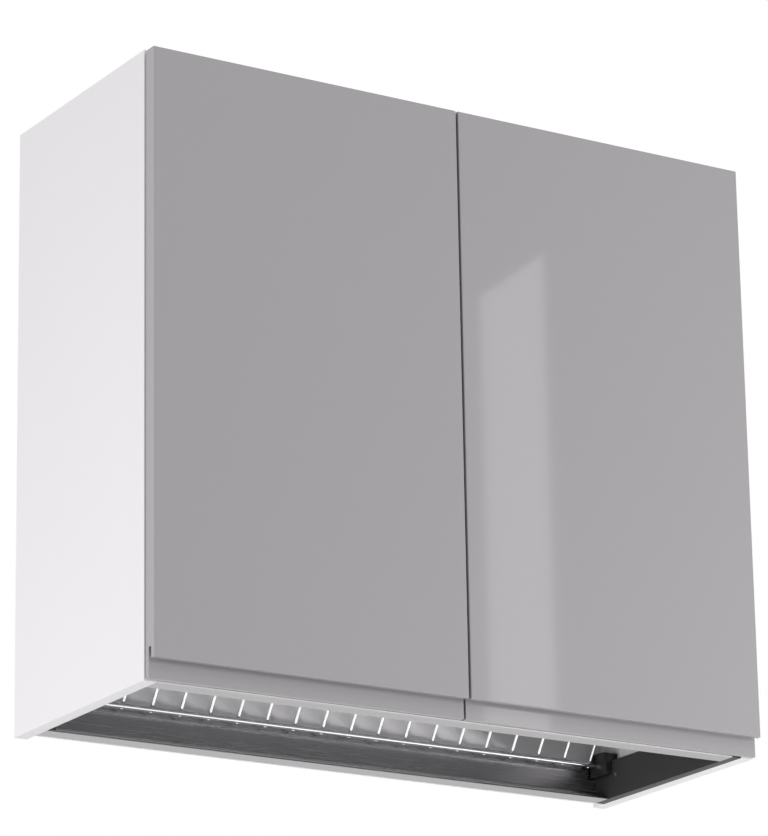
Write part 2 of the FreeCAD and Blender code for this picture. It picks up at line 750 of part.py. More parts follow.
def drip_tray():
    """The loose tray that lies on the lower wires, with a rim all round."""
    low = "lower_rack_top + wire_radius + tray_rest_gap"
    high = low + " + tray_height"

    def layer(inset, bottom, top, radius):
        left = "inner_left + tray_side_gap" + inset
        right = "-(%s)" % left
        front = "carcass_front + tray_front_gap" + inset
        rear = "back_front - (tray_rear_gap%s)" % inset
        return rounded_block(left, right, front, rear, bottom, top, radius)

    bowl = layer(" + tray_rim_width", low, high, "tray_corner_radius")
    rim = layer("", "%s - tray_rim_thickness" % high, high, "(tray_corner_radius + tray_rim_width)")
    hollow = layer(" + tray_rim_width + tray_wall", "%s + tray_wall" % low, "%s + overrun" % high,
                   "(tray_corner_radius - tray_wall)")
    return cut(joined([bowl, rim]), [hollow])


def hanger():
    """The hanger in the upper left rear corner: housing, hook through the back, and two screws."""
    front, low, high = "hanger_front", "hanger_rise", "hanger_rise + hanger_height"
    housing = block("inner_left", "inner_left + hanger_width", front, "back_front", low, high)
    hook_left, hook_right = "hook_left", "hook_left + hook_thickness"
    bar_start = "back_front - hook_bury"
    bar_low = "hook_top - hook_bar_height"
    hook = joined([
        block(hook_left, hook_right, bar_start, "hook_rear", bar_low, "hook_top"),
        block(hook_left, hook_right, "hook_rear - hook_lip_thickness", "hook_rear",
              "%s - hook_lip_length" % bar_low, bar_low),
    ])
    room = block("%s - hook_play" % hook_left, "%s + hook_play" % hook_right, "%s - hook_play" % bar_start,
                 "back_front + overrun", "%s - hook_play" % bar_low, "hook_top + hook_play")
    across = "inner_left + hanger_width / 2"
    upper, lower = "hook_top - hook_bar_height / 2", "hanger_rise + hanger_screw_rise"
    screws, holes = [], []
    for height, end in ((upper, bar_start), (lower, "hanger_front + hook_bury / 2")):
        screws.append(joined([
            round_bar("y", "hanger_screw_head_radius", "hanger_front - hanger_screw_head_length",
                      "hanger_front", across, height),
            round_bar("y", "hanger_screw_radius", "hanger_front", end, across, height),
        ]))
        holes.append(round_bar("y", "hanger_screw_radius", "hanger_front - overrun", end, across, height))
    return cut(housing, [room] + holes), hook, screws


def door():
    """The left door: a slab whose lower edge is milled into a lip, a finger groove and a rear strip."""
    body = new_body()
    outline = sketch_on(body, "YZ_Plane", "door_left")
    draw_polygon(outline, [
        ("door_rear", "door_bottom_reveal"), ("door_rear - strip_thickness", "door_bottom_reveal"),
        ("door_rear - strip_thickness", "groove_top"), ("door_front + lip_thickness", "groove_top"),
        ("door_front + lip_thickness", "lip_rise"), ("door_front", "lip_rise"), ("door_front", "door_top"),
        ("door_rear", "door_top"),
    ])
    slab = pad(body, outline, "door_width")
    front = number("door_front")
    round_edges(body, slab, lambda edge: lies_at(edge, "y", front), "door_edge_radius")
    cups = sketch_on(body, "XZ_Plane", "-(door_rear)")
    screws = sketch_on(body, "XZ_Plane", "-(door_rear)")
    for height in ("lower_hinge", "upper_hinge"):
        draw_circle(cups, "cup_axis", height, "cup_radius + cup_bore_play")
        for sign in ("-", "+"):
            draw_circle(screws, "cup_axis + cup_screw_inset", "%s %s cup_screw_rise" % (height, sign),
                        "cup_screw_radius")
    pocket(body, cups, "cup_depth", True)
    pocket(body, screws, "cup_screw_bite", True)
    return body


def bumpers():
    """Two clear pads on the door's back, which meet the top panel and the front profile."""
    across = "door_left + door_width - bumper_side_offset"
    pads = []
    for height in ("cabinet_height - panel_thickness / 2", "front_profile_height / 2"):
        pads.append(round_bar("y", "bumper_radius", "door_rear", "carcass_front - bumper_gap", across,
                              height))
    return group(pads)


def hinge_cup(height):
    """The cup let into the door, with its flange and the two ears that hold the cup pin."""
    inside = "cup_radius - cup_wall"
    shell = [
        round_bar("y", "cup_radius", "cup_bottom", "door_rear", "cup_axis", height),
        block("cup_axis - cup_flange_width / 2", "cup_axis + cup_flange_width / 2", "door_rear", "cup_face",
              "%s - cup_flange_height / 2" % height, "%s + cup_flange_height / 2" % height),
        round_bar("y", "cup_radius", "door_rear", "cup_face", "cup_axis", height),
    ]
    tools = [round_bar("y", inside, "cup_bottom + cup_wall", "cup_face + overrun", "cup_axis", height)]
    for sign in ("-", "+"):
        tools.append(round_bar("y", "cup_screw_radius", "door_rear - overrun", "cup_face + overrun",
                               "cup_axis + cup_screw_inset", "%s %s cup_screw_rise" % (height, sign)))
    ears = []
    for low, high in (("%s - cheek_half", "%s - fork_half"), ("%s + fork_half", "%s + cheek_half")):
        ears.append(block("cup_axis - cup_radius + cup_wall", "cup_pin_across + cup_ear_half_width",
                          "cup_bottom + cup_wall / 2", "cup_pin_along + cup_ear_half_width", low % height,
                          high % height))
    pin_bore = round_bar("z", "hinge_pin_radius", "%s - cheek_half - overrun" % height,
                         "%s + cheek_half + overrun" % height, "cup_pin_across", "cup_pin_along")
    return cut(joined([cut(joined(shell), tools)] + ears), [pin_bore])


def hinge_link(height):
    """The bent link between the two pins, an arc that goes round the cup's rim when the door is open."""
    low, thickness = number("%s - link_thickness / 2" % height), number("link_thickness")
    arm_pin = FreeCAD.Vector(number("arm_pin_across"), number("arm_pin_along"), low)
    cup_pin = FreeCAD.Vector(number("cup_pin_across"), number("cup_pin_along"), low)
    chord = cup_pin - arm_pin
    outward = FreeCAD.Vector(-chord.y, chord.x, 0).normalize()
    sag, half_width = number("link_sag"), number("link_width") / 2
    middle = arm_pin + chord * 0.5
    radius = chord.Length ** 2 / (8 * sag) + sag / 2
    centre = middle + outward * (sag - radius)

    def offset_arc(shift):
        spots = [centre + (spot - centre).normalize() * (radius + shift)
                 for spot in (arm_pin, middle + outward * sag, cup_pin)]
        return Part.Arc(*spots).toShape(), spots

    outer, outer_spots = offset_arc(half_width)
    inner, inner_spots = offset_arc(-half_width)
    closing = [Part.makeLine(outer_spots[index], inner_spots[index]) for index in (0, 2)]
    outline = Part.Wire(Part.__sortEdges__([outer, inner] + closing))
    strip = Part.Face(outline).extrude(FreeCAD.Vector(0, 0, thickness))
    eye, bore = number("link_eye_radius"), number("hinge_pin_radius + hinge_pin_play")
    eyes = [Part.makeCylinder(eye, thickness, pin) for pin in (arm_pin, cup_pin)]
    bores = [Part.makeCylinder(bore, thickness, pin) for pin in (arm_pin, cup_pin)]
    thing = doc.addObject("Part::Feature", "link")
    thing.Shape = strip.fuse(eyes).cut(bores).removeSplitter()
    thing.Placement = FreeCAD.Placement()
    return thing


def hinge_arm(height):
    """The arm on the mounting plate, with a forked nose that reaches into the cup."""
    low, high = "%s - cheek_half" % height, "%s + cheek_half" % height
    nose_left, nose_right = "arm_pin_across - arm_nose_radius", "arm_pin_across + arm_nose_radius"
    bodies = [
        block("mount_face", "arm_face", "carcass_front + arm_start",
              "carcass_front + arm_start + arm_length", "%s - arm_half_width" % height,
              "%s + arm_half_width" % height),
        block(nose_left, nose_right, "arm_pin_along", "carcass_front + arm_start + arm_neck_overlap", low,
              high),
        round_bar("z", "arm_nose_radius", low, high, "arm_pin_across", "arm_pin_along"),
    ]
    screw_along = "carcass_front + arm_screw_setback"
    tools = [
        block("%s - overrun" % nose_left, "%s + overrun" % nose_right,
              "arm_pin_along - arm_nose_radius - overrun", "arm_pin_along + arm_nose_radius",
              "%s - fork_half" % height, "%s + fork_half" % height),
        round_bar("z", "hinge_pin_radius", "%s - overrun" % low, "%s + overrun" % high, "arm_pin_across",
                  "arm_pin_along"),
        round_bar("x", "arm_screw_radius", "mount_face - overrun", "arm_face + overrun", screw_along,
                  height),
        round_bar("x", "arm_screw_head_radius", "arm_face - arm_screw_head_length", "arm_face + overrun",
                  screw_along, height),
    ]
    return cut(joined(bodies), tools)


def mount_plate(height):
    """The cross-shaped plate that carries the arm on the side panel."""
    screw_along = "carcass_front + mount_screw_setback"
    bodies = [
        block("inner_left", "mount_face", "carcass_front + mount_plate_start",
              "carcass_front + mount_plate_start + mount_plate_length",
              "%s - mount_plate_half_height" % height, "%s + mount_plate_half_height" % height),
        block("inner_left", "mount_face", "%s - mount_wing_half_width" % screw_along,
              "%s + mount_wing_half_width" % screw_along, "%s - mount_wing_half_height" % height,
              "%s + mount_wing_half_height" % height),
    ]
    tools = [round_bar("x", "arm_screw_radius", "inner_left - overrun", "mount_face + overrun",
                       "carcass_front + arm_screw_setback", height)]
    for sign in ("-", "+"):
        tools.append(round_bar("x", "mount_screw_radius", "inner_left - overrun", "mount_face + overrun",
                               screw_along, "%s %s mount_screw_rise" % (height, sign)))
    return cut(joined(bodies), tools)


def hinge_fasteners(height):
    """Pins and screws of one hinge: arm pin, cup pin, cup screws, plate screws and arm screw."""
    low, high = "%s - cheek_half" % height, "%s + cheek_half" % height
    arm_pin = round_bar("z", "hinge_pin_radius", low, high, "arm_pin_across", "arm_pin_along")
    cup_pin = round_bar("z", "hinge_pin_radius", low, high, "cup_pin_across", "cup_pin_along")
    cup_screws, plate_screws = [], []
    for sign in ("-", "+"):
        across, up = "cup_axis + cup_screw_inset", "%s %s cup_screw_rise" % (height, sign)
        cup_screws.append(joined([
            round_bar("y", "cup_screw_radius", "door_rear - cup_screw_bite", "cup_face", across, up),
            round_bar("y", "cup_screw_head_radius", "cup_face", "cup_face + cup_screw_head_length", across,
                      up),
        ]))
        along, up = "carcass_front + mount_screw_setback", "%s %s mount_screw_rise" % (height, sign)
        plate_screws.append(joined([
            round_bar("x", "mount_screw_radius", "inner_left - mount_screw_bite", "mount_face", along, up),
            round_bar("x", "mount_screw_head_radius", "mount_face", "mount_face + mount_screw_head_length",
                      along, up),
        ]))
    along = "carcass_front + arm_screw_setback"
    arm_screw = joined([
        round_bar("x", "arm_screw_radius", "inner_left", "arm_face - arm_screw_head_length", along, height),
        round_bar("x", "arm_screw_head_radius", "arm_face - arm_screw_head_length", "arm_face", along,
                  height),
    ])
    return arm_pin, cup_pin, cup_screws, plate_screws, arm_screw


def build_carcass():
    left = keep(side_panel(), "side_panel_left")
    mirrored(left, "side_panel_right")
    keep(top_panel(), "top_panel")
    keep(back_panel(), "back_panel")
    top_fasteners()


def build_drainer():
    keep(profile("carcass_front", "carcass_front + front_profile_depth", "front", "front_profile_height"),
         "front_profile")
    keep(profile("frame_rear - rear_profile_depth", "frame_rear", "rear", "rear_profile_height"),
         "rear_profile")
    plate = end_plate()
    mirrored(plate, "end_plate_right")
    # The left plate stands behind the profiles' ends, and its lower edge is higher between the profiles,
    # so it is hidden from the left.
    front_foot, rear_foot = "carcass_front + front_profile_depth", "frame_rear - rear_profile_depth"
    plate_top = "end_plate_height + overrun"
    reliefs = [block("inner_left - overrun", "plate_inner + overrun", front, rear, "-overrun", high)
               for front, rear, high in (
                   (front_foot, rear_foot, "end_plate_relief"),
                   ("carcass_front - overrun", front_foot, "profile_wall"),
                   (rear_foot, "frame_rear + overrun", "profile_wall"),
                   ("carcass_front - overrun", "carcass_front + profile_wall", plate_top),
                   ("frame_rear - profile_wall", "frame_rear + overrun", plate_top))]
    keep(cut(plate, reliefs), "end_plate_left")
    frame_screws()
    lower_alongs = ("lower_rod_front", "lower_rod_rear")
    plate_alongs = ("plate_rod_front", "plate_rod_rear")
    keep(rods("lower_rod_height", lower_alongs, "lower_bracket_face"), "lower_rack_rods")
    keep(lower_wires(), "lower_rack_wires")
    brackets, screws = rod_brackets("lower_rod_height", lower_alongs, "lower_bracket_face", True)
    keep(brackets, "lower_rack_brackets")
    keep(screws, "lower_rack_screws")
    keep(rods("plate_rod_height", plate_alongs, "plate_bracket_face"), "plate_rack_rods")
    keep(plate_wires(), "plate_rack_wires")
    brackets, screws = rod_brackets("plate_rod_height", plate_alongs, "plate_bracket_face", False)
    keep(brackets, "plate_rack_brackets")
    keep(screws, "plate_rack_screws")
    keep(drip_tray(), "drip_tray")


def build_hangers():
    housing, hook, screws = hanger()
    keep(housing, "hanger_housing_left")
    mirrored(housing, "hanger_housing_right")
    keep(hook, "hanger_hook_left")
    mirrored(hook, "hanger_hook_right")
    keep(group(both_sides(screws)), "hanger_screws")


def build_doors():
    left = keep(door(), "door_left")
    mirrored(left, "door_right")
    left = keep(bumpers(), "door_bumpers_left")
    mirrored(left, "door_bumpers_right")


def build_hinges():
    arm_pins, cup_pins, cup_screws, plate_screws, arm_screws = [], [], [], [], []
    for place, height in (("upper", "upper_hinge"), ("lower", "lower_hinge")):
        for name, piece in (("cup", hinge_cup(height)), ("link", hinge_link(height)),
                            ("arm", hinge_arm(height)), ("mount_plate", mount_plate(height))):
            keep(piece, "hinge_%s_%s_left" % (name, place))
            mirrored(piece, "hinge_%s_%s_right" % (name, place))
        arm_pin, cup_pin, cup_pair, plate_pair, arm_screw = hinge_fasteners(height)
        arm_pins.append(arm_pin)
        cup_pins.append(cup_pin)
        cup_screws += cup_pair
        plate_screws += plate_pair
        arm_screws.append(arm_screw)
    keep(group(both_sides(arm_pins)), "hinge_arm_pins")
    keep(group(both_sides(plate_screws)), "hinge_plate_screws")
    keep(group(both_sides(arm_screws)), "hinge_arm_screws")
    for label, pieces in (("hinge_cup_pins", cup_pins), ("hinge_cup_screws", cup_screws)):
        left = keep(group(pieces), label + "_left")
        mirrored(left, label + "_right")


def check_and_write():
    """Stops if an object failed or a shape is not sound, then writes one file for each sub-part."""
    for thing in doc.Objects:
        if "Invalid" in thing.State or "Error" in thing.State:
            raise RuntimeError("%s failed: %s" % (thing.Label, thing.State))
    for piece in parts:
        if piece.Shape.isNull() or not piece.Shape.isValid() or not piece.Shape.Solids:
            raise RuntimeError("%s is not a sound solid" % piece.Label)
    os.makedirs("parts", exist_ok=True)
    for piece in parts:
        piece.Shape.exportStep("parts/%s.step" % piece.Label)
    print("%d sub-parts written" % len(parts))


build_carcass()
build_drainer()
build_hangers()
build_doors()
build_hinges()
doc.recompute()
check_and_write()
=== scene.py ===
import json
import math
import bmesh
import bpy
from mathutils import Matrix, Vector


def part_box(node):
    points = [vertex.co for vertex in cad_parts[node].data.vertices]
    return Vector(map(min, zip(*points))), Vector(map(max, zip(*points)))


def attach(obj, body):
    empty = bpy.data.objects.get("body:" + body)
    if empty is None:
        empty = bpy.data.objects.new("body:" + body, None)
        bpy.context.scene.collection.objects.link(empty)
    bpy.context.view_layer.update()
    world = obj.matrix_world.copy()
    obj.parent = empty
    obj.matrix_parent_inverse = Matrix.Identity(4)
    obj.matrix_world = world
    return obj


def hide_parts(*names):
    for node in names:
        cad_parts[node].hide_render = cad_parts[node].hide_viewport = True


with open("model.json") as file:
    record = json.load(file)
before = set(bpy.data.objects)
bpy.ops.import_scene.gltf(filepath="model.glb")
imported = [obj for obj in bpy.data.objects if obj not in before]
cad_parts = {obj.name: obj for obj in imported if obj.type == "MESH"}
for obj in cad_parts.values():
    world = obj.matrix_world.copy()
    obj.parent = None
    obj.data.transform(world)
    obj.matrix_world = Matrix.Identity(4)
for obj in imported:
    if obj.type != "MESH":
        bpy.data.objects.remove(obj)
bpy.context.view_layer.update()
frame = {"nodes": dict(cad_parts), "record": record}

bodyOf = {node: body for body, nodes in frame["record"]["behaviour"]["bodies"].items() for node in nodes}
millimetre = 0.001
weldDistance = 1e-6      # metres; points of a mesh that are nearer than this become one
smoothLimit = 40.0       # degrees; sharper edges stay sharp, where a piece has no limit of its own


# A new object with this mesh, lamp or camera, in the scene.
def placed(name, data):
    thing = bpy.data.objects.new(name, data)
    bpy.context.scene.collection.objects.link(thing)
    return thing


# A node that joins two values or sockets by an operation.
def combined(tree, operation, first, second):
    node = tree.nodes.new("ShaderNodeMath")
    node.operation = operation
    for index, value in enumerate((first, second)):
        if isinstance(value, float):
            node.inputs[index].default_value = value
        else:
            tree.links.new(value, node.inputs[index])
    return node.outputs[0]


# Camera, at the place that the photo's corners give, tilted up instead of shifted

cameraSettings = {
    "place": (-2.5215, -3.9995, -1.0997),     # metres, in the frame
    "azimuth": 32.169,                        # degrees; 0 looks along +Y
    "elevation": -17.501,                     # degrees; below the horizon, looking up
    "roll": -0.987,                           # degrees
    "lens": 184.0,                            # millimetres on a 36 mm sensor
    "farEnd": 100.0,                          # metres
}


def setCamera():
    settings = cameraSettings
    azimuth, elevation, roll = (math.radians(settings[key]) for key in ("azimuth", "elevation", "roll"))
    forward = Vector((math.sin(azimuth) * math.cos(elevation), math.cos(azimuth) * math.cos(elevation),
                      -math.sin(elevation)))
    right = Vector((math.cos(azimuth), -math.sin(azimuth), 0.0))
    up = right.cross(forward)
    turnedRight = math.cos(roll) * right + math.sin(roll) * up
    turnedUp = -math.sin(roll) * right + math.cos(roll) * up
    camera = placed("camera", bpy.data.cameras.new("camera"))
    axes = Matrix((turnedRight, turnedUp, -forward)).transposed().to_4x4()
    camera.matrix_world = Matrix.Translation(Vector(settings["place"])) @ axes
    camera.data.lens = settings["lens"]
    camera.data.clip_end = settings["farEnd"]
    bpy.context.scene.camera = camera
    print("camera set")


# Light and surroundings

studioSettings = {
    "floorHeight": -1.40,                     # metres
    "floorReach": 14.0,
    "floorRoughness": 0.9,
    "floorLit": (0.62, 0.62, 0.62, 1.0),      # what the floor throws back on the cabinet
    "floorSeen": (0.93, 0.93, 0.93, 1.0),     # what the camera and the bright metal see of it
    "skyColour": (1.0, 1.0, 1.0, 1.0),
    "skyStrength": 0.62,                      # light on the cabinet; 1 is seen as white
    "skySeen": 1.0,
}

lampSettings = {
    # places, aims and sizes in metres, powers in watts; only a lamp with gloss is mirrored
    "front": {"place": (0.0, -2.6, 3.4), "aim": (0.0, 0.0, 0.4), "size": (2.6, 2.6), "power": 35.5,
              "gloss": False},
    "left": {"place": (-2.6, -0.3, -0.8), "aim": (-0.4, 0.0, 0.1), "size": (1.8, 1.8), "power": 39.5,
             "gloss": False},
    "rear": {"place": (0.8, 3.4, 2.4), "aim": (0.0, 0.1, 0.4), "size": (2.2, 2.2), "power": 45.0,
             "gloss": False},
    # shines in under the front profile from the right, on the back panel behind the wires
    "under": {"place": (2.1, -1.15, -0.70), "aim": (0.0, 0.1, 0.05), "size": (0.9, 0.2), "power": 44.0,
              "gloss": False},
    # the tall bright patch that the right door mirrors
    "window": {"place": (2.219, -3.346, 1.34), "aim": (0.036, -3.625, 1.34), "size": (0.298, 1.08),
               "power": 1.45, "gloss": True},
}


# 1 for rays from the camera and from mirrors and glass, 0 for light that falls on the cabinet
def seenRays(tree):
    path = tree.nodes.new("ShaderNodeLightPath")
    either = path.outputs["Is Camera Ray"]
    for name in ("Is Glossy Ray", "Is Transmission Ray"):
        either = combined(tree, "MAXIMUM", either, path.outputs[name])
    return either


def setStudio():
    settings = studioSettings
    world = bpy.data.worlds.new("studio")
    bpy.context.scene.world = world
    world.use_nodes = True
    nodes, links = world.node_tree.nodes, world.node_tree.links
    nodes.clear()
    output = nodes.new("ShaderNodeOutputWorld")
    lit = nodes.new("ShaderNodeBackground")
    seen = nodes.new("ShaderNodeBackground")
    chooser = nodes.new("ShaderNodeMixShader")
    lit.inputs["Color"].default_value = settings["skyColour"]
    lit.inputs["Strength"].default_value = settings["skyStrength"]
    seen.inputs["Color"].default_value = settings["skyColour"]
    seen.inputs["Strength"].default_value = settings["skySeen"]
    links.new(seenRays(world.node_tree), chooser.inputs["Fac"])
    links.new(lit.outputs[0], chooser.inputs[1])
    links.new(seen.outputs[0], chooser.inputs[2])
    links.new(chooser.outputs[0], output.inputs["Surface"])

    reach = settings["floorReach"]
    mesh = bpy.data.meshes.new("floor")
    corners = [(-reach, -reach), (reach, -reach), (reach, reach), (-reach, reach)]
    mesh.from_pydata([(x, y, settings["floorHeight"]) for x, y in corners], [], [(0, 1, 2, 3)])
    floor = placed("floor", mesh)
    paint = bpy.data.materials.new("floorPaint")
    paint.use_nodes = True
    nodes, links = paint.node_tree.nodes, paint.node_tree.links
    colour = nodes.new("ShaderNodeMix")
    colour.data_type = "RGBA"
    colour.inputs["A"].default_value = settings["floorLit"]
    colour.inputs["B"].default_value = settings["floorSeen"]
    links.new(seenRays(paint.node_tree), colour.inputs["Factor"])
    links.new(colour.outputs["Result"], nodes["Principled BSDF"].inputs["Base Color"])
    nodes["Principled BSDF"].inputs["Roughness"].default_value = settings["floorRoughness"]
    mesh.materials.append(paint)

    for name, lamp in lampSettings.items():
        data = bpy.data.lights.new(name, "AREA")
        data.shape = "RECTANGLE"
        data.size, data.size_y = lamp["size"]
        data.energy = lamp["power"]
        light = placed(name, data)
        light.location = lamp["place"]
        aim = Vector(lamp["aim"]) - Vector(lamp["place"])
        light.rotation_euler = aim.to_track_quat("-Z", "Y").to_euler()
        light.visible_camera = False
        light.visible_glossy = lamp["gloss"]
    bpy.context.scene.view_settings.view_transform = "Standard"
    print("studio set")


# Effects that several materials share

grainRange = (0.3, 0.7)      # the noise values that spread over the roughness
driftDetail = 2.0


def newGroup(name, inputs, outputs):
    group = bpy.data.node_groups.new(name, "ShaderNodeTree")
    for label, kind, value in inputs:
        group.interface.new_socket(label, in_out="INPUT", socket_type=kind).default_value = value
    for label, kind in outputs:
        group.interface.new_socket(label, in_out="OUTPUT", socket_type=kind)
    return group, group.nodes.new("NodeGroupInput"), group.nodes.new("NodeGroupOutput")


# Object coordinates, stretched by the group's Stretch input.
def stretchedPlace(group, source):
    place = group.nodes.new("ShaderNodeTexCoord")
    mapping = group.nodes.new("ShaderNodeMapping")
    group.links.new(place.outputs["Object"], mapping.inputs["Vector"])
    group.links.new(source.outputs["Stretch"], mapping.inputs["Scale"])
    return mapping.outputs["Vector"]


# A fine surface grain: Height for a bump, Mask for roughness.
def makeGrainGroup():
    group, source, target = newGroup(
        "surfaceGrain",
        [("Stretch", "NodeSocketVector", (1.0, 1.0, 1.0)), ("Scale", "NodeSocketFloat", 400.0),
         ("Detail", "NodeSocketFloat", 3.0), ("Low", "NodeSocketFloat", 0.3),
         ("High", "NodeSocketFloat", 0.4)],
        [("Height", "NodeSocketFloat"), ("Mask", "NodeSocketFloat")])
    noise = group.nodes.new("ShaderNodeTexNoise")
    group.links.new(stretchedPlace(group, source), noise.inputs["Vector"])
    group.links.new(source.outputs["Scale"], noise.inputs["Scale"])
    group.links.new(source.outputs["Detail"], noise.inputs["Detail"])
    spread = group.nodes.new("ShaderNodeMapRange")
    group.links.new(noise.outputs["Fac"], spread.inputs["Value"])
    spread.inputs["From Min"].default_value, spread.inputs["From Max"].default_value = grainRange
    group.links.new(source.outputs["Low"], spread.inputs["To Min"])
    group.links.new(source.outputs["High"], spread.inputs["To Max"])
    group.links.new(noise.outputs["Fac"], target.inputs["Height"])
    group.links.new(spread.outputs["Result"], target.inputs["Mask"])
    return group


# A slow drift between two nearby colours, as a batch of paint or board has.
def makeDriftGroup():
    group, source, target = newGroup(
        "colourDrift",
        [("Stretch", "NodeSocketVector", (1.0, 1.0, 1.0)), ("Scale", "NodeSocketFloat", 4.0),
         ("First", "NodeSocketColor", (0.5, 0.5, 0.5, 1.0)),
         ("Second", "NodeSocketColor", (0.5, 0.5, 0.5, 1.0))],
        [("Colour", "NodeSocketColor")])
    noise = group.nodes.new("ShaderNodeTexNoise")
    group.links.new(stretchedPlace(group, source), noise.inputs["Vector"])
    group.links.new(source.outputs["Scale"], noise.inputs["Scale"])
    noise.inputs["Detail"].default_value = driftDetail
    blend = group.nodes.new("ShaderNodeMix")
    blend.data_type = "RGBA"
    group.links.new(noise.outputs["Fac"], blend.inputs["Factor"])
    group.links.new(source.outputs["First"], blend.inputs["A"])
    group.links.new(source.outputs["Second"], blend.inputs["B"])
    group.links.new(blend.outputs["Result"], target.inputs["Colour"])
    return group


effects = {"grain": makeGrainGroup(), "drift": makeDriftGroup()}
coatRoughness = 0.03
padClearness = 0.5

# Each finish: its two close colours, its grain, and the shader's own values
finishes = {
    "whiteBoard": {"first": (0.775, 0.757, 0.775), "second": (0.800, 0.785, 0.800), "driftScale": 3.0,
                   "grainScale": 900.0, "stretch": (1.0, 1.0, 1.0), "roughness": (0.38, 0.48),
                   "bump": 0.06, "bumpDepth": 0.00015, "metallic": 0.0, "coat": 0.0},
    "doorLacquer": {"first": (0.325, 0.313, 0.325), "second": (0.338, 0.325, 0.338), "driftScale": 2.0,
                    "grainScale": 55.0, "stretch": (1.0, 1.0, 1.0), "roughness": (0.035, 0.050),
                    "bump": 0.01, "bumpDepth": 0.0002, "metallic": 0.0, "coat": 0.4},
    "aluminium": {"first": (0.55, 0.54, 0.55), "second": (0.60, 0.59, 0.60), "driftScale": 30.0,
                  "grainScale": 700.0, "stretch": (0.01, 1.0, 1.0), "roughness": (0.20, 0.30),
                  "bump": 0.12, "bumpDepth": 0.0001, "metallic": 1.0, "coat": 0.0},
    "darkPlastic": {"first": (0.038, 0.036, 0.038), "second": (0.045, 0.042, 0.045), "driftScale": 20.0,
                    "grainScale": 1400.0, "stretch": (1.0, 1.0, 1.0), "roughness": (0.45, 0.60),
                    "bump": 0.30, "bumpDepth": 0.0002, "metallic": 0.0, "coat": 0.0},
    "blackPlastic": {"first": (0.016, 0.016, 0.017), "second": (0.022, 0.022, 0.022), "driftScale": 20.0,
                     "grainScale": 1200.0, "stretch": (1.0, 1.0, 1.0), "roughness": (0.32, 0.46),
                     "bump": 0.20, "bumpDepth": 0.0002, "metallic": 0.0, "coat": 0.0},
    "chrome": {"first": (0.88, 0.88, 0.89), "second": (0.92, 0.92, 0.93), "driftScale": 40.0,
               "grainScale": 60.0, "stretch": (1.0, 1.0, 1.0), "roughness": (0.06, 0.13),
               "bump": 0.02, "bumpDepth": 0.0001, "metallic": 1.0, "coat": 0.0},
    "trayPlastic": {"first": (0.24, 0.24, 0.25), "second": (0.27, 0.27, 0.28), "driftScale": 8.0,
                    "grainScale": 300.0, "stretch": (1.0, 1.0, 1.0), "roughness": (0.22, 0.34),
                    "bump": 0.05, "bumpDepth": 0.0002, "metallic": 0.0, "coat": 0.0},
    "whitePlastic": {"first": (0.72, 0.72, 0.70), "second": (0.76, 0.76, 0.74), "driftScale": 20.0,
                     "grainScale": 900.0, "stretch": (1.0, 1.0, 1.0), "roughness": (0.34, 0.46),
                     "bump": 0.12, "bumpDepth": 0.0002, "metallic": 0.0, "coat": 0.0},
    "zincPlate": {"first": (0.55, 0.55, 0.53), "second": (0.66, 0.66, 0.64), "driftScale": 160.0,
                  "grainScale": 500.0, "stretch": (1.0, 1.0, 1.0), "roughness": (0.20, 0.40),
                  "bump": 0.10, "bumpDepth": 0.0001, "metallic": 1.0, "coat": 0.0},
    "nickelSteel": {"first": (0.56, 0.55, 0.53), "second": (0.64, 0.63, 0.61), "driftScale": 60.0,
                    "grainScale": 350.0, "stretch": (1.0, 0.05, 1.0), "roughness": (0.14, 0.26),
                    "bump": 0.06, "bumpDepth": 0.0001, "metallic": 1.0, "coat": 0.0},
    "clearPad": {"first": (0.72, 0.72, 0.70), "second": (0.78, 0.78, 0.76), "driftScale": 90.0,
                 "grainScale": 500.0, "stretch": (1.0, 1.0, 1.0), "roughness": (0.15, 0.25),
                 "bump": 0.05, "bumpDepth": 0.0002, "metallic": 0.0, "coat": 0.0},
    "blackSteel": {"first": (0.022, 0.022, 0.023), "second": (0.030, 0.030, 0.030), "driftScale": 60.0,
                   "grainScale": 600.0, "stretch": (1.0, 1.0, 1.0), "roughness": (0.30, 0.40),
                   "bump": 0.10, "bumpDepth": 0.0001, "metallic": 0.0, "coat": 0.0},
    "beech": {"first": (0.42, 0.27, 0.15), "second": (0.60, 0.42, 0.26), "driftScale": 260.0,
              "grainScale": 600.0, "stretch": (0.06, 1.0, 1.0), "roughness": (0.55, 0.75),
              "bump": 0.30, "bumpDepth": 0.0003, "metallic": 0.0, "coat": 0.0},
}


